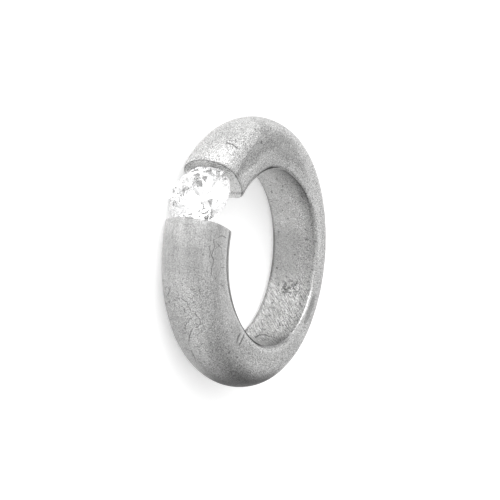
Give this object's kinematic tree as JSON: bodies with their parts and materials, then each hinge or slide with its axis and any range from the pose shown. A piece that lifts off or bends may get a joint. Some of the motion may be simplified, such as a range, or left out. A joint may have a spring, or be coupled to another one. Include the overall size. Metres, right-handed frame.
{
  "type": "tension set ring",
  "caption": "Heavy domed metal ring, cut open, whose two ends hold a round brilliant-cut clear stone between them by its girdle.",
  "frame": {"origin": "centre of the finger hole, on its axis, at the middle of the band's width", "axes": "+Z along the ring's axis, out of the side that lies up; -Y from the axis to the stone; the ring lies on its side"},
  "size_m": [0.0262, 0.026, 0.006],
  "materials": {
    "worn_metal": "satin, worn, with fine scratches and pits",
    "clear_stone": "polished facets"
  },
  "bodies": {
    "root": {"band": "worn_metal", "stone": "clear_stone"}
  },
  "joints": []
}
